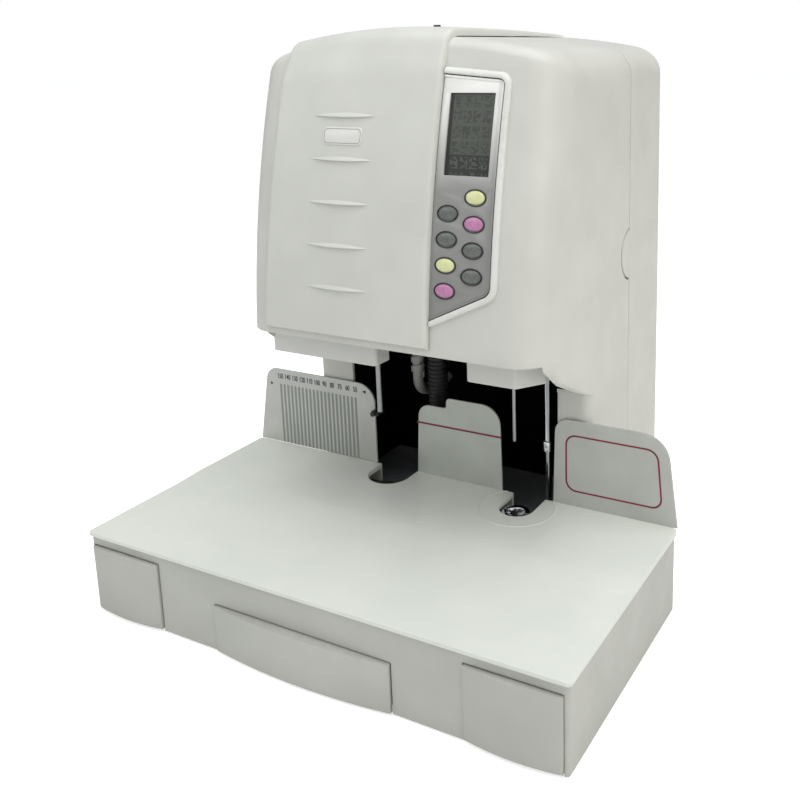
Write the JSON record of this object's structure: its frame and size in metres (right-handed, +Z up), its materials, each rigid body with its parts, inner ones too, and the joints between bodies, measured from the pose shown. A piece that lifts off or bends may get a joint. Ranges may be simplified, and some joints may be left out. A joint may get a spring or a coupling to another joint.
{
  "type": "document riveting machine",
  "caption": "Desk machine that drills a stack of papers on its table and closes it with a hot tube rivet, with keypad, drawers and a lifting cover.",
  "frame": {"origin": "middle of the footprint on the surface that the feet stand on", "axes": "+X to the operator's right, +Y from the operator to the rear, +Z up"},
  "size_m": [0.44, 0.407, 0.4801],
  "materials": {
    "housing_plastic": "fine-grained moulded ABS, warm grey-white",
    "cover_plastic": "satin moulded ABS, light grey",
    "table_plastic": "satin moulded ABS, pale cool grey",
    "base_plastic": "satin moulded ABS, light grey",
    "guard_plastic": "satin moulded ABS, light grey",
    "rim_plastic": "semi-gloss moulded trim, near white",
    "brushed_plate": "upright brushed stainless sheet",
    "panel_silver": "silver-lacquered panel, satin",
    "frame_steel": "grey powder coat on folded and flat steel plate",
    "bright_steel": "ground and polished steel",
    "cast_aluminium": "machined cast aluminium",
    "motor_can": "zinc-plated motor can",
    "black_rubber": "black rubber",
    "black_plastic": "black moulded plastic",
    "heater_brass": "turned brass heater body",
    "hose_plastic": "black ribbed hose",
    "harness_wrap": "off-white spiral cable wrap",
    "display_window": "clear window over the display",
    "display_body": "grey-green display glass and body",
    "circuit_board": "green circuit board",
    "key_yellow": "yellow-green domed key",
    "key_pink": "pink domed key",
    "key_grey": "dark grey domed key"
  },
  "bodies": {
    "frame": {"base_shell": "base_plastic", "base_plate": "frame_steel", "rubber_feet": "black_rubber", "table_top": "table_plastic", "scale_plate": "brushed_plate", "thickness_plate": "brushed_plate", "notice_plate": "brushed_plate", "stack_stop": "black_plastic", "frame_bed": "frame_steel", "frame_cheeks": "frame_steel", "arm_plate": "frame_steel", "top_plate": "frame_steel", "guide_columns": "bright_steel", "drill_pad": "black_plastic", "anvil": "bright_steel", "anvil_heater": "heater_brass", "chip_hose": "hose_plastic", "wiring_harness": "harness_wrap", "throat_liner": "black_plastic", "head_housing": "housing_plastic", "rear_cover": "housing_plastic", "rear_screws": "bright_steel", "drill_guard": "guard_plastic", "rivet_guard": "guard_plastic", "panel_rim": "rim_plastic", "panel_face": "panel_silver", "lcd_window": "display_window", "lcd_module": "display_body", "key_board": "circuit_board", "feed_motors": "motor_can", "feed_belts": "black_rubber", "cover_hinge_pin": "bright_steel", "power_inlet": "black_plastic"},
    "scrap_drawer": {"scrap_drawer": "base_plastic"},
    "left_drawer": {"left_drawer": "base_plastic"},
    "right_drawer": {"right_drawer": "base_plastic"},
    "front_cover": {"front_cover": "cover_plastic", "cover_latch": "black_plastic"},
    "drill_carriage": {"drill_carriage": "cast_aluminium", "drill_motor": "motor_can", "drill_belt": "black_rubber"},
    "drill_spindle": {"drill_spindle": "bright_steel", "drill_bit": "bright_steel"},
    "drill_motor_pulley": {"drill_motor_pulley": "cast_aluminium"},
    "drill_screw": {"drill_screw": "bright_steel"},
    "drill_feed_pulley": {"drill_feed_pulley": "cast_aluminium"},
    "rivet_carriage": {"rivet_carriage": "cast_aluminium", "punch_heater": "heater_brass", "rivet_punch": "bright_steel"},
    "rivet_screw": {"rivet_screw": "bright_steel"},
    "rivet_feed_pulley": {"rivet_feed_pulley": "cast_aluminium"},
    "power_rocker": {"power_rocker": "black_plastic"},
    "key_1": {"key_1": "key_yellow"},
    "key_2": {"key_2": "key_pink"},
    "key_3": {"key_3": "key_grey"},
    "key_4": {"key_4": "key_grey"},
    "key_5": {"key_5": "key_grey"},
    "key_6": {"key_6": "key_grey"},
    "key_7": {"key_7": "key_yellow"},
    "key_8": {"key_8": "key_pink"}
  },
  "joints": [
    {"name": "scrap_drawer_slide", "type": "slide", "parent": "frame", "child": "scrap_drawer", "axis": [0, -1, 0], "range_m": [0, 0.15]},
    {"name": "left_drawer_slide", "type": "slide", "parent": "frame", "child": "left_drawer", "axis": [0, -1, 0], "range_m": [0, 0.1]},
    {"name": "right_drawer_slide", "type": "slide", "parent": "frame", "child": "right_drawer", "axis": [0, -1, 0], "range_m": [0, 0.1]},
    {"name": "front_cover_hinge", "type": "hinge", "parent": "frame", "child": "front_cover", "pos_m": [-0.03, 0.1945, 0.46694], "axis": [-1, 0, 0], "range_deg": [0, 70]},
    {"name": "drill_feed", "type": "slide", "parent": "frame", "child": "drill_carriage", "axis": [0, 0, -1], "range_m": [0, 0.073]},
    {"name": "drill_spin", "type": "hinge", "parent": "drill_carriage", "child": "drill_spindle", "pos_m": [-0.051, -0.0045, 0.4], "axis": [0, 0, 1], "continuous": true},
    {"name": "drill_motor_spin", "type": "hinge", "parent": "drill_carriage", "child": "drill_motor_pulley", "pos_m": [-0.103, -0.0045, 0.39], "axis": [0, 0, 1], "continuous": true},
    {"name": "rivet_feed", "type": "slide", "parent": "frame", "child": "rivet_carriage", "axis": [0, 0, -1], "range_m": [0, 0.0614]},
    {"name": "drill_screw_turn", "type": "hinge", "parent": "frame", "child": "drill_screw", "pos_m": [-0.062, 0.0375, 0.43], "axis": [0, 0, 1], "range_deg": [0, 2633]},
    {"name": "drill_feed_pulley_turn", "type": "hinge", "parent": "frame", "child": "drill_feed_pulley", "pos_m": [-0.062, 0.0785, 0.43], "axis": [0, 0, 1], "range_deg": [0, 3947]},
    {"name": "rivet_screw_turn", "type": "hinge", "parent": "frame", "child": "rivet_screw", "pos_m": [0.0805, 0.0375, 0.43], "axis": [0, 0, 1], "range_deg": [0, 2216]},
    {"name": "rivet_feed_pulley_turn", "type": "hinge", "parent": "frame", "child": "rivet_feed_pulley", "pos_m": [0.0805, 0.0785, 0.43], "axis": [0, 0, 1], "range_deg": [0, 3321]},
    {"name": "key_1_press", "type": "slide", "parent": "frame", "child": "key_1", "axis": [0, 0.9822, -0.188], "range_m": [0, 0.0008], "stiffness_N_per_m": 600, "springref_m": -0.0004},
    {"name": "key_2_press", "type": "slide", "parent": "frame", "child": "key_2", "axis": [0, 0.9857, -0.1684], "range_m": [0, 0.0008], "stiffness_N_per_m": 600, "springref_m": -0.0004},
    {"name": "key_3_press", "type": "slide", "parent": "frame", "child": "key_3", "axis": [0, 0.9889, -0.1488], "range_m": [0, 0.0008], "stiffness_N_per_m": 600, "springref_m": -0.0004},
    {"name": "key_4_press", "type": "slide", "parent": "frame", "child": "key_4", "axis": [0, 0.9916, -0.1292], "range_m": [0, 0.0008], "stiffness_N_per_m": 600, "springref_m": -0.0004},
    {"name": "key_5_press", "type": "slide", "parent": "frame", "child": "key_5", "axis": [0, 0.9845, -0.1752], "range_m": [0, 0.0008], "stiffness_N_per_m": 600, "springref_m": -0.0004},
    {"name": "key_6_press", "type": "slide", "parent": "frame", "child": "key_6", "axis": [0, 0.9878, -0.1556], "range_m": [0, 0.0008], "stiffness_N_per_m": 600, "springref_m": -0.0004},
    {"name": "key_7_press", "type": "slide", "parent": "frame", "child": "key_7", "axis": [0, 0.9907, -0.136], "range_m": [0, 0.0008], "stiffness_N_per_m": 600, "springref_m": -0.0004},
    {"name": "key_8_press", "type": "slide", "parent": "frame", "child": "key_8", "axis": [0, 0.9932, -0.1164], "range_m": [0, 0.0008], "stiffness_N_per_m": 600, "springref_m": -0.0004},
    {"name": "power_rocker_tilt", "type": "hinge", "parent": "frame", "child": "power_rocker", "pos_m": [0.084, 0.197, 0.074], "axis": [1, 0, 0], "range_deg": [0, 16]}
  ],
  "couplings": [
    {"joint": "drill_motor_spin", "follows": "drill_spin", "ratio": 1.75},
    {"joint": "drill_screw_turn", "follows": "drill_feed", "rad_per_m": 628.32},
    {"joint": "drill_feed_pulley_turn", "follows": "drill_feed", "rad_per_m": 942.48},
    {"joint": "rivet_screw_turn", "follows": "rivet_feed", "rad_per_m": 628.32},
    {"joint": "rivet_feed_pulley_turn", "follows": "rivet_feed", "rad_per_m": 942.48}
  ]
}
